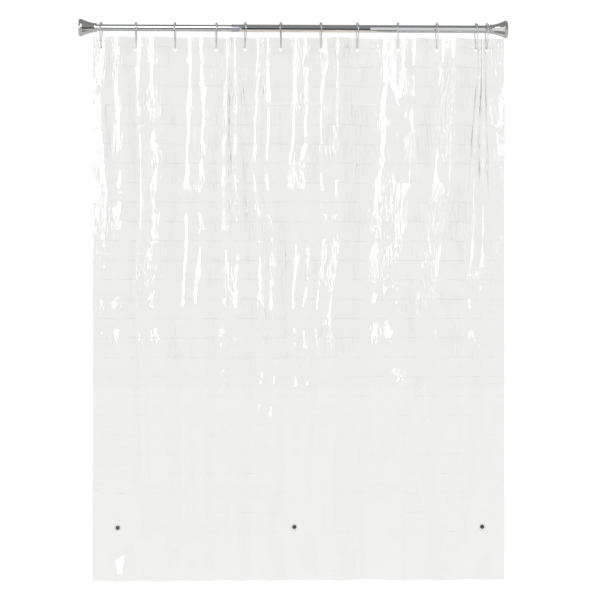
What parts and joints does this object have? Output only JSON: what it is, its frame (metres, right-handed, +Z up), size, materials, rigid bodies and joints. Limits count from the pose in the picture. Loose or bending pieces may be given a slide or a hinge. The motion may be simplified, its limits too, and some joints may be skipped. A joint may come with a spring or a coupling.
{
  "type": "shower curtain",
  "caption": "Clear vinyl shower curtain with weighted hem magnets, hung by roller rings from a chrome telescopic tension rod with flared end caps.",
  "frame": {"origin": "centre of the left wall pad's outer face, on the rod's axis", "axes": "+X along the rod to the right wall, +Z up, curtain's front faces -Y"},
  "size_m": [1.448, 0.0765, 1.8899],
  "materials": {
    "pad_rubber": "matt moulded rubber",
    "foot_plastic": "moulded plastic",
    "cap_chrome": "polished chrome plate",
    "tube_chrome": "polished chrome plate",
    "collar_plastic": "chrome-plated plastic, ribbed",
    "inner_plastic": "moulded plastic",
    "spindle_steel": "zinc-plated steel",
    "clear_vinyl": "clear flexible vinyl, glossy, with packing creases",
    "magnet_black": "black lacquered magnet",
    "ring_chrome": "polished chrome wire and beads"
  },
  "bodies": {
    "inner_rod": {"inner_tube": "tube_chrome", "left_cap": "cap_chrome", "left_foot": "foot_plastic", "left_wall_pad": "pad_rubber", "spindle_plug": "inner_plastic"},
    "stop_bush": {"stop_bush": "inner_plastic"},
    "spindle": {"threaded_spindle": "spindle_steel", "spindle_washer": "spindle_steel", "tension_spring": "spindle_steel", "lock_nut": "inner_plastic"},
    "outer_rod": {"outer_tube": "tube_chrome", "joint_collar": "collar_plastic", "right_foot": "foot_plastic", "right_cap": "cap_chrome", "right_wall_pad": "pad_rubber"},
    "curtain": {"liner_sheet": "clear_vinyl", "header_band": "clear_vinyl", "ring_wire_1": "ring_chrome", "ring_rollers_1": "ring_chrome"},
    "ring_2": {"ring_wire_2": "ring_chrome", "ring_rollers_2": "ring_chrome"},
    "ring_3": {"ring_wire_3": "ring_chrome", "ring_rollers_3": "ring_chrome"},
    "ring_4": {"ring_wire_4": "ring_chrome", "ring_rollers_4": "ring_chrome"},
    "ring_5": {"ring_wire_5": "ring_chrome", "ring_rollers_5": "ring_chrome"},
    "ring_6": {"ring_wire_6": "ring_chrome", "ring_rollers_6": "ring_chrome"},
    "ring_7": {"ring_wire_7": "ring_chrome", "ring_rollers_7": "ring_chrome"},
    "ring_8": {"ring_wire_8": "ring_chrome", "ring_rollers_8": "ring_chrome"},
    "ring_9": {"ring_wire_9": "ring_chrome", "ring_rollers_9": "ring_chrome"},
    "ring_10": {"ring_wire_10": "ring_chrome", "ring_rollers_10": "ring_chrome"},
    "ring_11": {"ring_wire_11": "ring_chrome", "ring_rollers_11": "ring_chrome"},
    "ring_12": {"ring_wire_12": "ring_chrome", "ring_rollers_12": "ring_chrome"},
    "magnet_1": {"magnet_1": "magnet_black", "magnet_patch_1": "clear_vinyl"},
    "magnet_2": {"magnet_2": "magnet_black", "magnet_patch_2": "clear_vinyl"},
    "magnet_3": {"magnet_3": "magnet_black", "magnet_patch_3": "clear_vinyl"}
  },
  "joints": [
    {"name": "screw_advance", "type": "slide", "parent": "inner_rod", "child": "stop_bush", "axis": [1, 0, 0], "range_m": [0, 0.0242]},
    {"name": "tube_twist", "type": "hinge", "parent": "stop_bush", "child": "spindle", "pos_m": [0, 0, 0], "axis": [1, 0, 0], "range_deg": [0, 2880]},
    {"name": "telescope", "type": "slide", "parent": "spindle", "child": "outer_rod", "axis": [1, 0, 0], "range_m": [0, 0.33]},
    {"name": "curtain_swing", "type": "hinge", "parent": "inner_rod", "child": "curtain", "pos_m": [0, 0, 0], "axis": [1, 0, 0], "range_deg": [-20, 20]},
    {"name": "curtain_draw", "type": "slide", "parent": "curtain", "child": "ring_12", "axis": [1, 0, 0], "range_m": [-0.91245, 0], "deforming": ["liner_sheet", "header_band"]},
    {"name": "ring_2_draw", "type": "slide", "parent": "curtain", "child": "ring_2", "axis": [1, 0, 0], "range_m": [-0.08275, 0]},
    {"name": "ring_3_draw", "type": "slide", "parent": "curtain", "child": "ring_3", "axis": [1, 0, 0], "range_m": [-0.1748, 0]},
    {"name": "ring_4_draw", "type": "slide", "parent": "curtain", "child": "ring_4", "axis": [1, 0, 0], "range_m": [-0.27224, 0]},
    {"name": "ring_5_draw", "type": "slide", "parent": "curtain", "child": "ring_5", "axis": [1, 0, 0], "range_m": [-0.34035, 0]},
    {"name": "ring_6_draw", "type": "slide", "parent": "curtain", "child": "ring_6", "axis": [1, 0, 0], "range_m": [-0.4247, 0]},
    {"name": "ring_7_draw", "type": "slide", "parent": "curtain", "child": "ring_7", "axis": [1, 0, 0], "range_m": [-0.51906, 0]},
    {"name": "ring_8_draw", "type": "slide", "parent": "curtain", "child": "ring_8", "axis": [1, 0, 0], "range_m": [-0.60558, 0]},
    {"name": "ring_9_draw", "type": "slide", "parent": "curtain", "child": "ring_9", "axis": [1, 0, 0], "range_m": [-0.70183, 0]},
    {"name": "ring_10_draw", "type": "slide", "parent": "curtain", "child": "ring_10", "axis": [1, 0, 0], "range_m": [-0.7943, 0]},
    {"name": "ring_11_draw", "type": "slide", "parent": "curtain", "child": "ring_11", "axis": [1, 0, 0], "range_m": [-0.88768, 0]},
    {"name": "magnet_1_draw", "type": "slide", "parent": "curtain", "child": "magnet_1", "axis": [1, 0, 0], "range_m": [-0.04075, 0]},
    {"name": "magnet_2_draw", "type": "slide", "parent": "curtain", "child": "magnet_2", "axis": [1, 0, 0], "range_m": [-0.4569, 0]},
    {"name": "magnet_3_draw", "type": "slide", "parent": "curtain", "child": "magnet_3", "axis": [1, 0, 0], "range_m": [-0.90105, 0]}
  ],
  "couplings": [
    {"joint": "screw_advance", "follows": "tube_twist", "m_per_rad": 0.00047746},
    {"joint": "ring_2_draw", "follows": "curtain_draw", "ratio": 0.090142},
    {"joint": "ring_3_draw", "follows": "curtain_draw", "ratio": 0.19102},
    {"joint": "ring_4_draw", "follows": "curtain_draw", "ratio": 0.29781},
    {"joint": "ring_5_draw", "follows": "curtain_draw", "ratio": 0.37246},
    {"joint": "ring_6_draw", "follows": "curtain_draw", "ratio": 0.4649},
    {"joint": "ring_7_draw", "follows": "curtain_draw", "ratio": 0.56832},
    {"joint": "ring_8_draw", "follows": "curtain_draw", "ratio": 0.66314},
    {"joint": "ring_9_draw", "follows": "curtain_draw", "ratio": 0.76862},
    {"joint": "ring_10_draw", "follows": "curtain_draw", "ratio": 0.86997},
    {"joint": "ring_11_draw", "follows": "curtain_draw", "ratio": 0.97231},
    {"joint": "magnet_1_draw", "follows": "curtain_draw", "ratio": 0.044112},
    {"joint": "magnet_2_draw", "follows": "curtain_draw", "ratio": 0.50019},
    {"joint": "magnet_3_draw", "follows": "curtain_draw", "ratio": 0.98696}
  ]
}
